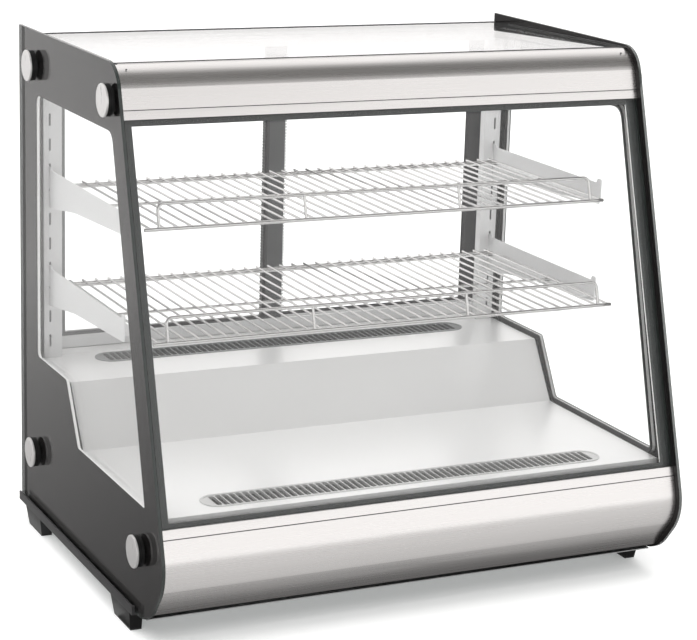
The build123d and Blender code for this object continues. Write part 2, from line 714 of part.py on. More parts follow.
def rocker(x):
    """Rocker resting on its lower side; its pivot runs along X."""
    half_w, half_h = ROCKER[0] / 2, ROCKER[1] / 2
    section = plain((-3.2, -half_h + 2.6), (2.2, -half_h), (3.4, -half_h + 0.5), (1.6, 0),
                    (3.4, half_h - 0.5), (2.2, half_h), (-3.2, half_h - 2.6))
    paddle = across(section, -half_w, half_w)
    return Pos(x, ROCKER_PIVOT_Y, SWITCH_Z) * Rot(-ROCKER_TILT, 0, 0) * paddle


# --- heating and air ------------------------------------------------------------

def air_duct():
    front, rear = DUCT_Y
    path = Polyline((rear, 236.0), (rear, DUCT_FLOOR_Z), (front, DUCT_FLOOR_Z), (front - 2, 150.0))
    duct = across(trace(path, 1.0), -DUCT_HALF, DUCT_HALF)
    end = plain((rear, 236), (rear, DUCT_FLOOR_Z), (front, DUCT_FLOOR_Z), (front, 150),
                (46, 150), (100, 234))
    duct += across(end, -DUCT_HALF, -DUCT_HALF + 1.0)
    duct += across(end, DUCT_HALF - 1.0, DUCT_HALF)
    for y in (ELEMENT_ROWS[0], ELEMENT_ROWS[-1]):
        duct -= rod_x(ELEMENT_R + 0.5, DUCT_HALF - 5, DUCT_HALF + 5, y, ELEMENT_Z)
    return duct


def heating_element():
    """Tubular element bent in four runs, with a cold terminal pin on each end."""
    out = DUCT_HALF + 3.0
    turn_out, turn_in = -270.0, 270.0
    a, b, c, d = ELEMENT_ROWS
    path = FilletPolyline((out, a), (turn_out, a), (turn_out, b), (turn_in, b),
                          (turn_in, c), (turn_out, c), (turn_out, d), (out, d), radius=18.0)
    path = Pos(0, 0, ELEMENT_Z) * path
    tube = sweep(Plane(path @ 0, z_dir=path % 0) * Circle(ELEMENT_R), path=path)
    for y in (a, d):
        tube += rod_x(1.6, out - 1, out + 6, y, ELEMENT_Z)
    return tube


def fan_frame(x):
    """Axial fan frame with a strutted motor seat and a fixed shaft."""
    half = FAN_SIZE / 2
    bottom = FAN_TOP_Z - FAN_DEPTH
    body = block(x - half, x + half, REAR_VENT_Y - half, REAR_VENT_Y + half, bottom, FAN_TOP_Z)
    body = fillet(body.edges().filter_by(Axis.Z), 6.0)
    body -= rod_z(38.0, bottom - 1, FAN_TOP_Z + 1, x, REAR_VENT_Y)
    for dx in (-35.5, 35.5):
        for dy in (-35.5, 35.5):
            body -= rod_z(2.2, bottom - 1, FAN_TOP_Z + 1, x + dx, REAR_VENT_Y + dy)
    body += rod_z(17.0, bottom, bottom + 3, x, REAR_VENT_Y)
    strut = Pos(0, 27, 1.5) * Box(3.0, 24.0, 3.0)
    for angle in (45, 135, 225, 315):
        body += Pos(x, REAR_VENT_Y, bottom) * Rot(0, 0, angle) * strut
    body += rod_z(9.0, bottom + 2, bottom + 8, x, REAR_VENT_Y)
    body += rod_z(SHAFT_R, bottom + 2, bottom + 21, x, REAR_VENT_Y)
    return body


def fan_frames():
    return Compound(children=[fan_frame(-FAN_X), fan_frame(FAN_X)])


def fan_rotor(x):
    """Cup hub with seven twisted blades."""
    base = FAN_TOP_Z - FAN_DEPTH + 5.0
    hub = rod_z(17.0, base, base + 16.0, 0, 0)
    hub -= rod_z(14.0, base - 1, base + 13.0, 0, 0)
    hub += rod_z(4.0, base + 8.0, base + 13.5, 0, 0)
    for i in range(7):
        blade = Pos(26.0, 0, base + 8.0) * Rot(35, 0, 0) * Box(20.0, 15.0, 1.2)
        hub += Rot(0, 0, i * 360.0 / 7) * blade
    hub -= rod_z(SHAFT_R + SHAFT_CLEARANCE, base - 5, base + 20, 0, 0)
    return Pos(x, REAR_VENT_Y, 0) * hub


def thermal_cutout():
    """Disc thermostat on the duct floor, beside the element."""
    body = rod_z(9.0, DUCT_FLOOR_Z + 0.5, DUCT_FLOOR_Z + 7.5, 300, 100)
    body += block(284, 316, 97, 103, DUCT_FLOOR_Z + 0.5, DUCT_FLOOR_Z + 1.7)
    for x in (296.0, 303.4):
        body += block(x, x + 0.8, 97, 103, DUCT_FLOOR_Z + 7, DUCT_FLOOR_Z + 15)
    return body


def temperature_probe():
    """Steel probe under the rear vent, in a clip on the deck."""
    probe = rod_x(3.0, 226, 270, REAR_VENT_Y, 228)
    probe += block(240, 252, REAR_VENT_Y - 5, REAR_VENT_Y + 5, 224, FAN_TOP_Z - 0.2)
    return probe


def terminal_block():
    body = block(230, 300, 210, 232, GLASS_BOTTOM + SHEET, GLASS_BOTTOM + SHEET + 16)
    top = GLASS_BOTTOM + SHEET + 16
    for i in range(5):
        x = 239.0 + i * 13.0
        body -= rod_z(3.0, top - 6, top + 1, x, 216)
        body -= rod_z(3.0, top - 6, top + 1, x, 226)
        body -= block(x - 3, x + 3, 205, 212, top - 12, top - 6)
    return body


# --- write every node -----------------------------------------------------------

DOOR_A = (-DOOR_EDGE_X, DOOR_LAP_X, INNER_DOOR_Y, -DOOR_EDGE_X + JAMB_STILE / 2)
DOOR_B = (-DOOR_LAP_X, DOOR_EDGE_X, OUTER_DOOR_Y, DOOR_EDGE_X - JAMB_STILE / 2)

nodes = {
    "side_glass_left": mirror(side_glass(), about=Plane.YZ),
    "side_glass_right": side_glass(),
    "side_borders": both_sides(side_border()),
    "side_inner_glass": side_inner_glass(),
    "side_glass_spacers": side_glass_spacers(),
    "clamp_discs": clamp_discs(),
    "clamp_collars": clamp_collars(),
    "clamp_studs": clamp_studs(),
    "side_rail_left": side_rail(-1),
    "side_rail_right": side_rail(1),
    "feet": feet(),
    "base_pan": base_pan(),
    "rear_panel": rear_panel(),
    "rear_panel_screws": rear_panel_screws(),
    "cable_gland": cable_gland(),
    "upper_front_panel": upper_front_panel(),
    "upper_glass_strip": glass_strip(UPPER_STRIP),
    "lower_front_panel": lower_front_panel(),
    "lower_glass_strip": glass_strip(LOWER_STRIP),
    "front_glass_outer": front_glass_outer(),
    "front_glass_border": front_glass_border(),
    "front_glass_spacer": front_glass_spacer(),
    "front_glass_inner": front_glass_inner(),
    "top_glass": top_glass(),
    "top_glass_supports": top_glass_supports(),
    "led_housing": led_housing(),
    "led_lens": led_lens(),
    "deck": deck(),
    "front_vent_grille": vent_grille(FRONT_VENT_Y, LOWER_DECK_Z),
    "rear_vent_grille": vent_grille(REAR_VENT_Y, UPPER_DECK_Z),
    "upright_left": mirror(upright(), about=Plane.YZ),
    "upright_right": upright(),
    "upper_brackets": bracket(SHELF_Z[0]),
    "lower_brackets": bracket(SHELF_Z[1]),
    "upper_shelf": shelf(SHELF_Z[0], SHELF_FRONT_Y[0]),
    "lower_shelf": shelf(SHELF_Z[1], SHELF_FRONT_Y[1]),
    "door_sill": track(*SILL_Z),
    "door_header": track(HEADER_Z[2], HEADER_Z[1], HEADER_Z[0]),
    "door_jambs": door_jambs(),
    "left_door_frame": door_frame(*DOOR_A),
    "left_door_glass": door_glass(*DOOR_A),
    "right_door_frame": door_frame(*DOOR_B),
    "right_door_glass": door_glass(*DOOR_B),
    "control_plate": control_plate(),
    "controller_body": controller_body(),
    "controller_display": display_block(),
    "key_set": controller_key(KEY_X[0]),
    "key_down": controller_key(KEY_X[1]),
    "key_up": controller_key(KEY_X[2]),
    "switch_bodies": switch_bodies(),
    "power_rocker": rocker(SWITCH_X[0]),
    "light_rocker": rocker(SWITCH_X[1]),
    "air_duct": air_duct(),
    "heating_element": heating_element(),
    "fan_frames": fan_frames(),
    "fan_rotor_left": fan_rotor(-FAN_X),
    "fan_rotor_right": fan_rotor(FAN_X),
    "thermal_cutout": thermal_cutout(),
    "temperature_probe": temperature_probe(),
    "terminal_block": terminal_block(),
}

os.makedirs("parts", exist_ok=True)
for name, shape in nodes.items():
    export_step(shape, f"parts/{name}.step")
front = nodes["side_glass_left"].bounding_box().min.Y
print(len(nodes), "nodes; front of the side glass at y =", round(front, 3))
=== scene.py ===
"""Counter-top hot food display case: finishes, fine pieces, light and camera round the
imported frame. Metres, +Z up, -Y is the customer's side, X runs across the case.
"""
import bpy
import bmesh
from math import cos, radians, sin
from mathutils import Matrix, Vector

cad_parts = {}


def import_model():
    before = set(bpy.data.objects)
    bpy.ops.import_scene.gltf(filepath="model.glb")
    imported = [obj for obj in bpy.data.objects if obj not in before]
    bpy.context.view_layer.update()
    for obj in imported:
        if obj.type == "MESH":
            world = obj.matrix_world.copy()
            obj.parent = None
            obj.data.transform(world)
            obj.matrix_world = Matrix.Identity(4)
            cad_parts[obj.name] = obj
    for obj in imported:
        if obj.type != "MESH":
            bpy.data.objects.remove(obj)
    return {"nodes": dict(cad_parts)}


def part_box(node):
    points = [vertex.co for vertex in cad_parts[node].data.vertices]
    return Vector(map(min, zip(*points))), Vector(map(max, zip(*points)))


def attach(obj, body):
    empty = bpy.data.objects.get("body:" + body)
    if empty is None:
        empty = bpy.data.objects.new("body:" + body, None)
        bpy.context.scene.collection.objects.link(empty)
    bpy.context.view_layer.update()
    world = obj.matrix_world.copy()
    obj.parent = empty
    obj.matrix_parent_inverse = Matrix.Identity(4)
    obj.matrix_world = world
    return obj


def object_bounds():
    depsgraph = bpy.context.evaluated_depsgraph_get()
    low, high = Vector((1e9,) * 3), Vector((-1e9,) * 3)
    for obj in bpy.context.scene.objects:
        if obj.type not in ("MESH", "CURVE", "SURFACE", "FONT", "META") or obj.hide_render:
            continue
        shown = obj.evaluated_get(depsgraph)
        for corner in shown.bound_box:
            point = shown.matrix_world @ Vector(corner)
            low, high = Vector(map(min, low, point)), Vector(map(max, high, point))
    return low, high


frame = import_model()
cad_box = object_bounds()
nodes = frame["nodes"]


# --- Side glasses ---------------------------------------------------------------------
# Toughened float glass with ground edges, one pane at each end of the case, held by four
# clamps. A smaller second pane stands behind each, so that the ends are double glazed.

class Signal:
    """A shader socket that takes Python arithmetic."""

    def __init__(self, tree, socket):
        self.tree = tree
        self.socket = socket

    def math(self, operation, *values):
        return self.tree.node("ShaderNodeMath", {"operation": operation}, dict(enumerate(values)))

    def __add__(self, other):
        return self.math("ADD", self, other)

    def __radd__(self, other):
        return self.math("ADD", other, self)

    def __sub__(self, other):
        return self.math("SUBTRACT", self, other)

    def __rsub__(self, other):
        return self.math("SUBTRACT", other, self)

    def __mul__(self, other):
        return self.math("MULTIPLY", self, other)

    def __rmul__(self, other):
        return self.math("MULTIPLY", other, self)

    def __pow__(self, power):
        return self.math("POWER", self, power)

    def __abs__(self):
        return self.math("ABSOLUTE", self)

    def at_least(self, least):
        return self.math("MAXIMUM", self, least)

    def at_most(self, most):
        return self.math("MINIMUM", self, most)

    def above(self, edge, soft):
        """0 below the edge, 1 above it, over a soft step."""
        return self.tree.node("ShaderNodeMapRange", {"interpolation_type": "SMOOTHSTEP"},
                              {"Value": self, "From Min": edge - soft, "From Max": edge + soft})


class Tree:
    """A node tree and the one way to add a node to it."""

    def __init__(self, owner):
        owner.use_nodes = True
        self.nodes = owner.node_tree.nodes
        self.links = owner.node_tree.links

    def node(self, kind, settings=None, inputs=None, output=0):
        """Any node: its type, its settings, then the values or links of its sockets."""
        made = self.nodes.new(kind)
        for setting, value in (settings or {}).items():
            setattr(made, setting, value)
        for socket, value in (inputs or {}).items():
            self.join(value, made.inputs[socket])
        return Signal(self, made.outputs[output])

    def join(self, value, socket):
        if isinstance(value, Signal):
            self.links.new(value.socket, socket)
        else:
            socket.default_value = value

    def mix(self, factor, first, second):
        """Colour between two colours."""
        return self.node("ShaderNodeMix", {"data_type": "RGBA"},
                         {"Factor": factor, 6: first, 7: second}, output=2)


class Finish(Tree):
    """One material: a node tree round a Principled shader."""

    def __init__(self, name, **constants):
        self.material = bpy.data.materials.new(name)
        super().__init__(self.material)
        self.shader = self.nodes["Principled BSDF"]
        self.principled = Signal(self, self.shader.outputs[0])
        for socket, value in constants.items():
            self.set(socket.replace("_", " "), value)

    def set(self, socket, value):
        self.join(value, self.shader.inputs[socket])

    def place(self, stretch=(1, 1, 1)):
        """Object coordinates in metres, stretched along each axis."""
        where = self.node("ShaderNodeTexCoord", output="Object")
        return self.node("ShaderNodeVectorMath", {"operation": "MULTIPLY"}, {0: where, 1: stretch})

    def noise(self, size, stretch=(1, 1, 1), detail=2.0):
        """Soft noise from 0 to 1, with lumps of about that size in metres."""
        return self.node("ShaderNodeTexNoise", None,
                         {"Vector": self.place(stretch), "Scale": 1 / size, "Detail": detail})

    def roughen(self, least, spread, size, stretch=(1, 1, 1), detail=2.0):
        """Roughness that varies from the least value over lumps of a size."""
        self.set("Roughness", least + spread * self.noise(size, stretch, detail))

    def bump(self, height, depth):
        """Feeds the shader a bump of that depth in metres."""
        self.set("Normal", self.node("ShaderNodeBump", None, {"Height": height, "Distance": depth}))

    def mottle(self, size, dark, pale, detail=2.0):
        """Base colour that varies between two colours over lumps of a size."""
        self.set("Base Color", self.mix(self.noise(size, detail=detail), dark, pale))

    def turned_away(self):
        """0 on a face square to the eye, 1 at its outline."""
        return self.node("ShaderNodeLayerWeight", None, {"Blend": 0.5}, output="Facing")

    def normal_along(self, axis):
        """How squarely a face looks along that axis, from 0 to 1."""
        normal = self.node("ShaderNodeNewGeometry", output="Normal")
        return abs(self.node("ShaderNodeVectorMath", {"operation": "DOT_PRODUCT"},
                             {0: normal, 1: axis}, output="Value"))

    def blend(self, factor, first, second):
        """Shader between two shaders."""
        return self.node("ShaderNodeMixShader", None, {0: factor, 1: first, 2: second})

    def end(self, surface):
        self.join(surface, self.nodes["Material Output"].inputs["Surface"])


def coat(finish, *names):
    """Gives CAD nodes that finish."""
    for name in names:
        for slot in nodes[name].material_slots:
            slot.link = "OBJECT"
            slot.material = finish.material


def soften(width, *names):
    """Rounds the sharp edges of CAD nodes a little, as a ground or moulded edge is."""
    for name in names:
        edge = nodes[name].modifiers.new("edge", "BEVEL")
        edge.width = width
        edge.segments = 2
        edge.limit_method = "ANGLE"
        edge.angle_limit = radians(40)
        edge.harden_normals = False


def draw_in(gap, *names):
    """Draws CAD nodes in by a hair, so that touching faces do not coincide."""
    for name in names:
        inset = nodes[name].modifiers.new("inset", "DISPLACE")
        inset.strength = -gap
        inset.mid_level = 0.0


GLASS_TINT = (0.996, 0.997, 0.997, 1)
GROUND_EDGE = (0.025, 0.031, 0.029, 1)


def pane(name, axis, gloss=0.45):
    """Clear glass whose faces look along an axis, with dark ground edges."""
    glass = Finish(name, Base_Color=GROUND_EDGE)
    glass.roughen(0.12, 0.12, 0.0015)
    mirror = 0.018 + gloss * glass.turned_away() ** 5.0
    clear = glass.node("ShaderNodeBsdfTransparent", None, {"Color": GLASS_TINT})
    shine = glass.node("ShaderNodeBsdfGlossy", None, {"Color": (1, 1, 1, 1), "Roughness": 0.02})
    rim = 1 - glass.normal_along(axis).above(0.7, 0.05)
    glass.end(glass.blend(rim * 0.9, glass.blend(mirror, clear, shine), glass.principled))
    return glass


coat(pane("side_glass", (1, 0, 0)), "side_glass_left", "side_glass_right", "side_inner_glass")
draw_in(0.00004, "side_glass_left", "side_glass_right", "side_inner_glass")
soften(0.0005, "side_glass_left", "side_glass_right")


# --- Printed borders and spacers ------------------------------------------------------
# The black borders are enamel fired on the inner faces of the outer panes. Aluminium
# spacer bars, sealed to both panes, stand along the inner edges of the borders.

side_enamel = Finish("black_enamel", Base_Color=(0.011, 0.010, 0.010, 1), Specular_IOR_Level=0.12)
side_enamel.roughen(0.08, 0.08, 0.05, detail=3.0)
coat(side_enamel, "side_borders")

front_enamel = Finish("front_enamel", Base_Color=(0.042, 0.046, 0.045, 1), Specular_IOR_Level=0.3)
front_enamel.roughen(0.15, 0.15, 0.02, detail=3.0)
coat(front_enamel, "front_glass_border")

spacer = Finish("spacer_bar", Base_Color=(0.90, 0.90, 0.89, 1), Metallic=0.2)
spacer.roughen(0.4, 0.15, 0.004)
coat(spacer, "side_glass_spacers", "front_glass_spacer")


# --- Front, top and door glazing ------------------------------------------------------
# The front is a sealed double unit that slopes back. The top is one loose pane that lies
# on angle supports and falls a little to the rear. Each door holds a single pane.

FRONT_SLOPE = (0, -0.957, 0.289)
TOP_SLOPE = (0, 0.026, 1)
TOP_GLOSS = 1.1

coat(pane("front_glass", FRONT_SLOPE), "front_glass_outer", "front_glass_inner")
coat(pane("top_glass", TOP_SLOPE, TOP_GLOSS), "top_glass")
coat(pane("door_glass", (0, 1, 0)), "left_door_glass", "right_door_glass")
draw_in(0.00004, "front_glass_outer", "front_glass_inner")


# --- Steel panels ---------------------------------------------------------------------
# Stainless sheet with its brushed grain across the case, bent over at the top and into a
# chin at the bottom. Narrow strips of the same sheet cover the edges of the front glass.

GRAIN = (0.004, 1, 1)


def brushed(name, colour, least_rough, metal=1.0):
    """Brushed steel with its grain across the case."""
    steel = Finish(name, Metallic=metal, Anisotropic=0.35)
    fine = steel.noise(0.0009, GRAIN, detail=3.0)
    broad = steel.noise(0.35, detail=1.0)
    dark = tuple(channel * 0.95 for channel in colour[:3]) + (1,)
    steel.set("Base Color", steel.mix(0.7 * fine + 0.3 * broad, dark, colour))
    steel.set("Roughness", least_rough + 0.10 * fine + 0.04 * broad)
    steel.bump(fine, 0.000004)
    return steel


stainless = brushed("stainless", (0.87, 0.855, 0.845, 1), 0.21)
coat(stainless, "upper_front_panel", "lower_front_panel", "upper_glass_strip", "lower_glass_strip",
     "control_plate")


# --- Deck and vents -------------------------------------------------------------------
# The stepped deck is one bent sheet. An oblong slotted insert is pressed into each of its
# two levels. A dark sheet close beneath the slots is painted shade that darkens them.

def rounded_box(u0, u1, v0, v1, edge):
    """Corners of a box section with its own corners cut."""
    return [(u0 + edge, v0), (u1 - edge, v0), (u1, v0 + edge), (u1, v1 - edge),
            (u1 - edge, v1), (u0 + edge, v1), (u0, v1 - edge), (u0, v0 + edge)]


TOOTH = (0.0, 0.45, 0.5, 0.95)


def bar(section, axis, start, end, teeth=0, bite=0.0):
    """Corners and faces of a bar with a closed section, stepped by teeth along one edge."""
    stations = [start, end]
    if teeth:
        pitch = (end - start) / teeth
        stations = [start + pitch * (i + part) for i in range(teeth) for part in TOOTH] + [end]
    vertices = []
    for k, along in enumerate(stations):
        cut = bite if teeth and k % 4 in (2, 3) else 0.0
        for u, v in section:
            corner = [u, v - cut]
            corner.insert("xyz".index(axis), along)
            vertices.append(tuple(corner))
    n = len(section)
    last = len(stations) - 1
    faces = [tuple(range(n)), tuple(n * last + i for i in range(n))]
    for k in range(last):
        for i in range(n):
            a = n * k + i
            b = n * k + (i + 1) % n
            faces.append((a, b, b + n, a + n))
    return vertices, faces


def solid(name, finish, body, vertices, faces):
    """A piece from its corners and faces, in its finish, riding on a body."""
    mesh = bpy.data.meshes.new(name)
    mesh.from_pydata(vertices, [], faces)
    work = bmesh.new()
    work.from_mesh(mesh)
    bmesh.ops.remove_doubles(work, verts=work.verts, dist=1e-6)
    bmesh.ops.recalc_face_normals(work, faces=work.faces)
    work.to_mesh(mesh)
    work.free()
    mesh.materials.append(finish.material)
    piece = bpy.data.objects.new(name, mesh)
    bpy.context.collection.objects.link(piece)
    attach(piece, body)


coat(brushed("deck_steel", (0.90, 0.90, 0.895, 1), 0.25, metal=0.4), "deck")
coat(brushed("vent_steel", (0.62, 0.62, 0.615, 1), 0.25, metal=0.5), "front_vent_grille")
# The rear grille is the vent steel painted darker, as painted shade.
coat(brushed("painted_shade_vent_steel", (0.30, 0.31, 0.31, 1), 0.25, metal=0.6), "rear_vent_grille")

# Painted shade: a dark mottled sheet under each grille darkens the slots as shade would.
slot_shade = Finish("vent_slot_shade", Roughness=0.6)
slot_shade.mottle(0.0012, (0.012, 0.012, 0.012, 1), (0.06, 0.06, 0.06, 1))
SHADE_MARGIN = 0.005
SHADE_TOP = 0.0004
SHADE_BOTTOM = 0.0012
END_STEPS = 12
for vent in ("front_vent", "rear_vent"):
    vent_low, vent_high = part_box(vent + "_grille")
    middle = (vent_low + vent_high) / 2
    radius = (vent_high.y - vent_low.y) / 2 - SHADE_MARGIN
    reach = (vent_high.x - vent_low.x) / 2 - SHADE_MARGIN - radius
    outline = []
    for i in range(2 * END_STEPS):
        turn = radians((i + 0.5) * 180 / END_STEPS - 90)
        centre = middle.x + (reach if i < END_STEPS else -reach)
        outline.append((centre + radius * cos(turn), middle.y + radius * sin(turn)))
    plate = bar(outline, "z", vent_low.z - SHADE_BOTTOM, vent_low.z - SHADE_TOP)
    solid(vent + "_slot_shade", slot_shade, "root", *plate)


# --- Clamps and black mouldings -------------------------------------------------------
# Each clamp is a satin cap over a black ringed collar, on a steel stud with a nut behind.
# The feet, switches, controller and fans are moulded in the same black plastic.

cap = Finish("satin_cap", Base_Color=(0.70, 0.69, 0.685, 1), Metallic=0.65)
cap.roughen(0.24, 0.12, 0.002, (1, 1, 0.1))
coat(cap, "clamp_discs")
soften(0.0006, "clamp_discs")

moulded = Finish("black_moulding", Base_Color=(0.008, 0.008, 0.008, 1), Specular_IOR_Level=0.35)
moulded.roughen(0.38, 0.16, 0.0015, detail=4.0)
moulded.bump(moulded.noise(0.0008), 0.00004)
coat(moulded, "clamp_collars", "feet", "cable_gland", "controller_body", "switch_bodies",
     "power_rocker", "light_rocker", "key_set", "key_down", "key_up", "fan_frames",
     "fan_rotor_left", "fan_rotor_right", "terminal_block")
soften(0.0004, "clamp_collars", "power_rocker", "light_rocker", "key_set", "key_down", "key_up")
soften(0.0012, "feet")


# --- Wire shelves ---------------------------------------------------------------------
# Welded wire grids with a low guard rail, chromium plated. Painted shade darkens each
# wire where it turns away from the eye, leaving it bright along its top.

chrome = Finish("chrome_wire", Base_Color=(0.72, 0.715, 0.71, 1), Metallic=1.0)
chrome.roughen(0.08, 0.08, 0.01)
# Painted shade: a dark gloss blended in along each wire's outline.
painted_edge_shade = chrome.node("ShaderNodeBsdfGlossy", None, {"Color": (0.2, 0.2, 0.2, 1), "Roughness": 0.15})
chrome.end(chrome.blend(chrome.turned_away().above(0.72, 0.15) * 0.8, chrome.principled, painted_edge_shade))
coat(chrome, "upper_shelf", "lower_shelf")


# --- Painted steel --------------------------------------------------------------------
# The uprights, brackets, door sill and top glass supports are folded sheet in white
# powder coat. The rails under the side glasses are folded sheet in black.

powder = Finish("white_powder", Base_Color=(0.66, 0.66, 0.66, 1))
powder.roughen(0.34, 0.14, 0.002)
powder.bump(powder.noise(0.0012, detail=3.0), 0.00004)
coat(powder, "upright_left", "upright_right", "upper_brackets", "lower_brackets", "door_sill",
     "top_glass_supports")

black_rail = Finish("black_rail", Base_Color=(0.025, 0.025, 0.026, 1))
black_rail.roughen(0.3, 0.12, 0.002)
black_rail.bump(black_rail.noise(0.0012), 0.00004)
coat(black_rail, "side_rail_left", "side_rail_right")


# --- Anodised profiles ----------------------------------------------------------------
# The door frames, jambs, header and light strip housing are extruded aluminium, with
# fine die lines along their length, anodised in dark, grey or pale shades.

UPRIGHT_LINES = (1, 1, 0.02)
LEVEL_LINES = (0.02, 1, 1)
for name, colour, metal, lines, profiles in (
        ("grey_aluminium", (0.22, 0.225, 0.225, 1), 0.6, UPRIGHT_LINES, ("door_jambs",)),
        ("dark_anodised", (0.085, 0.088, 0.088, 1), 0.5, UPRIGHT_LINES,
         ("left_door_frame", "right_door_frame")),
        ("pale_anodised", (0.93, 0.93, 0.925, 1), 0.1, LEVEL_LINES, ("door_header", "led_housing"))):
    anodised = Finish(name, Base_Color=colour, Metallic=metal)
    anodised.roughen(0.34, 0.12, 0.0015, lines)
    coat(anodised, *profiles)


# --- Base, works and lamp -------------------------------------------------------------
# Zinc coated sheet closes the base and guides the air. Plated steel makes the heater,
# studs and screws. The lamp has an opal lens and the controller a dark red window.

zinc = Finish("zinc_steel", Metallic=1.0)
zinc.mottle(0.02, (0.42, 0.43, 0.43, 1), (0.6, 0.61, 0.61, 1), detail=5.0)
zinc.roughen(0.38, 0.18, 0.01, detail=4.0)
coat(zinc, "air_duct", "base_pan", "rear_panel")

plated = Finish("bright_steel", Base_Color=(0.62, 0.62, 0.62, 1), Metallic=1.0)
plated.roughen(0.26, 0.1, 0.002)
coat(plated, "clamp_studs", "heating_element", "rear_panel_screws", "temperature_probe",
     "thermal_cutout")

lens = Finish("opal_lens", Base_Color=(0.93, 0.93, 0.9, 1), Emission_Color=(1, 0.98, 0.94, 1),
              Emission_Strength=1.0)
lens.roughen(0.3, 0.1, 0.004)
coat(lens, "led_lens")

window = Finish("display_glass", Base_Color=(0.03, 0.006, 0.006, 1))
window.roughen(0.06, 0.05, 0.01)
coat(window, "controller_display")


# --- Seals of the top and front glass -------------------------------------------------
# Black rubber edges the top glass at the front and rear, with a notched grey foam behind
# the rear one. Thin beads fill the seams between the front panels and their strips.

rubber = Finish("seal_rubber", Base_Color=(0.05, 0.05, 0.05, 1))
rubber.roughen(0.55, 0.2, 0.001)
rubber.bump(rubber.noise(0.0008), 0.00005)
foam = Finish("grey_foam", Roughness=0.8)
foam.mottle(0.0012, (0.3, 0.3, 0.3, 1), (0.55, 0.55, 0.55, 1))
foam.bump(foam.noise(0.0006), 0.0001)

TOP_AT_FRONT = 0.6822
TOP_AT_REAR = 0.6732
TOP_THICK = 0.005
END_GAP = 0.001
glass_low, glass_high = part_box("top_glass")
front = glass_low.y
rear = glass_high.y


def under_glass(y):
    """Height of the underside of the top glass."""
    return TOP_AT_FRONT - TOP_THICK - (TOP_AT_FRONT - TOP_AT_REAR) / (rear - front) * (y - front)


under = under_glass(rear)
over = under + TOP_THICK
for name, finish, y0, y1, z0, z1, corner, teeth, bite in (
        ("rear_seal", rubber, rear - 0.0070, rear - 0.0005, under - 0.0045, under - 0.0003, 0.0002, 0, 0.0),
        ("rear_lip", rubber, rear - 0.0085, rear - 0.0003, over + 0.0002, over + 0.0008, 0.0002, 0, 0.0),
        ("front_lip", rubber, front - 0.0006, front + 0.0022, 0.68232, 0.68295, 0.0002, 0, 0.0),
        ("rear_foam", foam, rear - 0.0115, rear - 0.0072, under - 0.0062, under - 0.0003,
         0.0004, 150, 0.0008),
        ("front_seal", rubber, front - 0.0009, front - 0.0001, 0.6793, 0.6819, 0.0002, 0, 0.0)):
    section = rounded_box(y0, y1, z0, z1, corner)
    run = bar(section, "x", glass_low.x + END_GAP, glass_high.x - END_GAP, teeth, bite)
    solid(name, finish, "root", *run)

LEAN = 0.289 / 0.957
BEAD_OFFSET = 0.0004
for level, at_top in (("upper", True), ("lower", False)):
    strip_low, strip_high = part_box(level + "_glass_strip")
    z = strip_high.z + BEAD_OFFSET if at_top else strip_low.z - BEAD_OFFSET
    y = strip_low.y + LEAN * (z - strip_low.z)
    section = rounded_box(y - 0.0002, y + 0.0012, z - 0.0006, z + 0.0006, 0.0002)
    run = bar(section, "x", strip_low.x + END_GAP, strip_high.x - END_GAP)
    solid(level + "_seam_bead", rubber, "root", *run)


# --- Ribbed strips on the angle supports ----------------------------------------------
# A ribbed rubber strip runs under each end of the top glass along the inner edge of its
# support, and another lies over the glass along the outer edge.

STRIP = 0.0012
FLANGE = 0.012
support_low, support_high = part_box("top_glass_supports")
strip_start = support_low.y + 0.004
strip_length = support_high.y - support_low.y - 0.008
for side, name in ((-1, "left"), (1, "right")):
    for tag, start_x, rise in (
            ("inner", side * (support_high.x - FLANGE - STRIP), -0.0003 - STRIP),
            ("outer", side * (support_high.x - 0.0006), TOP_THICK + 0.0004)):
        ribs, faces = bar(rounded_box(0, STRIP, 0, STRIP, 0.0002), "y", 0.0, 1.0, 60, 0.0004)
        placed = []
        for u, along, v in ribs:
            y = strip_start + along * strip_length
            placed.append((start_x - side * u, y, under_glass(y) + rise + v))
        solid(name + "_" + tag + "_strip", rubber, "root", placed, faces)


# --- Door brushes and glazing beads ---------------------------------------------------
# Each sliding door carries a brush seal on the edge that laps the other door. Black
# rubber beads hold its glass in the frame from the front and the rear.

tuft = Finish("brush_tuft", Roughness=0.7)
tuft.mottle(0.0012, (0.25, 0.26, 0.26, 1), (0.8, 0.8, 0.8, 1))
BRUSH_REACH = 0.0035
BRUSH_END = 0.010
TUFTS = 90
TUFT_SHARE = 0.62
BEAD = 0.0022
BEAD_DEPTH = 0.0012
BEAD_INSET = 0.004


def joined(parts):
    """One set of corners and faces from several."""
    vertices = []
    faces = []
    for corners, sides in parts:
        first = len(vertices)
        faces += [tuple(first + k for k in side) for side in sides]
        vertices += corners
    return vertices, faces


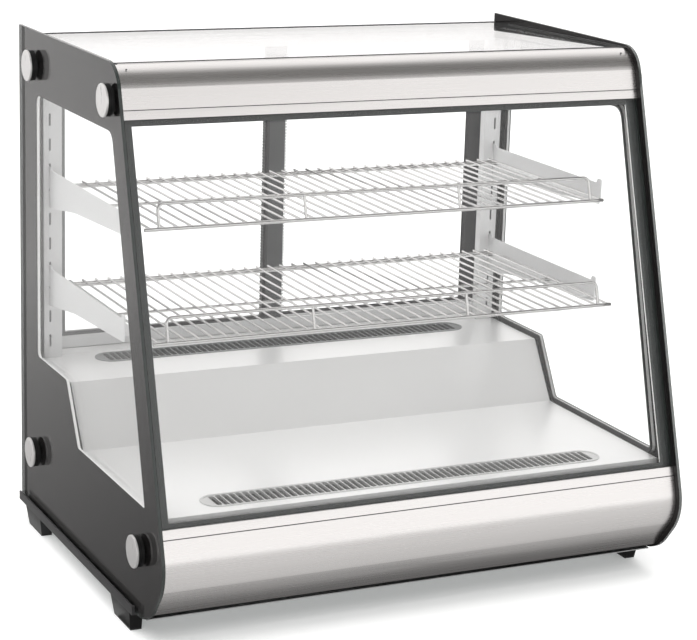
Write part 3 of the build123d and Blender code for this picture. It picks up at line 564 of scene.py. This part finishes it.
for body, towards in (("left_door", 1), ("right_door", -1)):
    frame_low, frame_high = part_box(body + "_frame")
    lap = frame_high.x if towards > 0 else frame_low.x
    tip = lap + towards * BRUSH_REACH
    section = [(lap, frame_low.y + 0.001), (tip, frame_low.y + 0.0022),
               (tip, frame_low.y + 0.0036), (lap, frame_low.y + 0.005)]
    foot = frame_low.z + BRUSH_END
    pitch = (frame_high.z - BRUSH_END - foot) / TUFTS
    tufts = [bar(section, "z", foot + pitch * i, foot + pitch * (i + TUFT_SHARE)) for i in range(TUFTS)]
    solid(body + "_brush", tuft, body, *joined(tufts))

    pane_low, pane_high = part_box(body + "_glass")
    left = pane_low.x + BEAD_INSET
    right = pane_high.x - BEAD_INSET
    bottom = pane_low.z + BEAD_INSET
    top = pane_high.z - BEAD_INSET
    for face, y0, y1 in (("front", pane_low.y - BEAD_DEPTH, pane_low.y),
                         ("rear", pane_high.y, pane_high.y + BEAD_DEPTH)):
        beads = []
        for x in (left, right - BEAD):
            beads.append(bar(rounded_box(x, x + BEAD, y0, y1, 0.0003), "z", bottom, top))
        for z in (bottom, top - BEAD):
            beads.append(bar(rounded_box(y0, y1, z, z + BEAD, 0.0003), "x", left + BEAD, right - BEAD))
        solid(body + "_" + face + "_bead", rubber, body, *joined(beads))


# --- Studio ---------------------------------------------------------------------------
# A pale floor under a bright surround that darkens high at the front, and one soft lamp.
# Two grey cards on the floor show only as reflections, in the chin and the side glass.

low, high = (Vector(corner) for corner in cad_box)


def flat(name, finish, corners, height):
    """A level four-cornered stage piece, in its finish."""
    mesh = bpy.data.meshes.new(name)
    mesh.from_pydata([(x, y, height) for x, y in corners], [], [(0, 1, 2, 3)])
    mesh.materials.append(finish.material)
    made = bpy.data.objects.new(name, mesh)
    bpy.context.collection.objects.link(made)
    return made


pale = Finish("pale_floor", Base_Color=(0.80, 0.80, 0.80, 1), Emission_Color=(0.97, 1, 0.99, 1),
              Emission_Strength=0.28)
pale.roughen(0.85, 0.1, 0.05)
FLOOR = 60.0
flat("floor", pale, [(-FLOOR, -FLOOR), (FLOOR, -FLOOR), (FLOOR, FLOOR), (-FLOOR, FLOOR)], low.z)

surround = bpy.data.worlds.new("studio")
bpy.context.scene.world = surround
studio = Tree(surround)
direction = studio.node("ShaderNodeTexCoord", output="Generated")
rising = studio.node("ShaderNodeSeparateXYZ", None, {0: direction}, output="Z")
rearward = studio.node("ShaderNodeSeparateXYZ", None, {0: direction}, output="Y")
high_front = rising.above(0.455, 0.065) * (1 - rearward.above(0.05, 0.3))
light = studio.mix(high_front, (1.13, 1.11, 1.10, 1), (0.18, 0.175, 0.17, 1))
studio.join(light, studio.nodes["Background"].inputs["Color"])

lamp = bpy.data.lights.new("soft_sun", "SUN")
lamp.energy = 2.9
lamp.angle = radians(75)
sun = bpy.data.objects.new("soft_sun", lamp)
bpy.context.collection.objects.link(sun)
sun.rotation_euler = Vector((0.15, 0.25, -1)).to_track_quat("-Z", "Y").to_euler()
sun.visible_glossy = False


def card(name, corners, shade):
    """A card on the floor that only mirrors see, in a grey that depends on its Y."""
    grey = Finish(name)
    along = grey.node("ShaderNodeSeparateXYZ", None, {0: grey.place()}, output="Y")
    black = grey.node("ShaderNodeEmission", None, {"Color": (0, 0, 0, 1)})
    white = grey.node("ShaderNodeEmission", None, {"Color": (1, 0.985, 0.975, 1)})
    grey.end(grey.blend(shade(along), black, white))
    made = flat(name, grey, corners, low.z + 0.002)
    for kind in ("camera", "diffuse", "transmission", "volume_scatter", "shadow"):
        setattr(made, "visible_" + kind, False)


def beside(y):
    """Shade of the left card, paler towards the rear."""
    return (0.23 + 0.34 * y).at_least(0.18).at_most(0.8)


def before(y):
    """Shade of the front card, dark under the chin and paler away from the case."""
    away = low.y - y
    near = 0.12 + 0.48 * away.above(-0.034, 0.014) + 0.08 * away.above(0.06, 0.08)
    return near + 0.2 * away.above(0.9, 0.8)


left_edge = low.x - 0.005
under_front = low.y + 0.15
card("left_card", [(-14, -0.8), (left_edge, -0.8), (left_edge, 14), (-14, 14)], beside)
card("front_card", [(low.x, -4), (3.2, -4), (high.x, under_front), (low.x, under_front)], before)


# --- Camera ---------------------------------------------------------------------------
# It stands at the customer's left, above the counter, looks down at the case and leans
# by a small roll.

CAMERA_PLACE = (-1.22086, -2.55107, 1.04702)
HEADING = radians(25.61)
DOWN = radians(14.4)
ROLL = radians(-1.8)
camera_data = bpy.data.cameras.new("camera")
camera_data.lens = 114.05
camera_data.sensor_width = 36.0
camera = bpy.data.objects.new("camera", camera_data)
bpy.context.collection.objects.link(camera)
forward = Vector((sin(HEADING) * cos(DOWN), cos(HEADING) * cos(DOWN), -sin(DOWN)))
level_right = forward.cross(Vector((0, 0, 1))).normalized()
level_down = forward.cross(level_right)
camera_right = cos(ROLL) * level_right + sin(ROLL) * level_down
camera_down = cos(ROLL) * level_down - sin(ROLL) * level_right
facing = Matrix((camera_right, -camera_down, -forward)).transposed()
camera.matrix_world = Matrix.Translation(CAMERA_PLACE) @ facing.to_4x4()
bpy.context.scene.camera = camera
bpy.context.scene.view_settings.view_transform = "Standard"
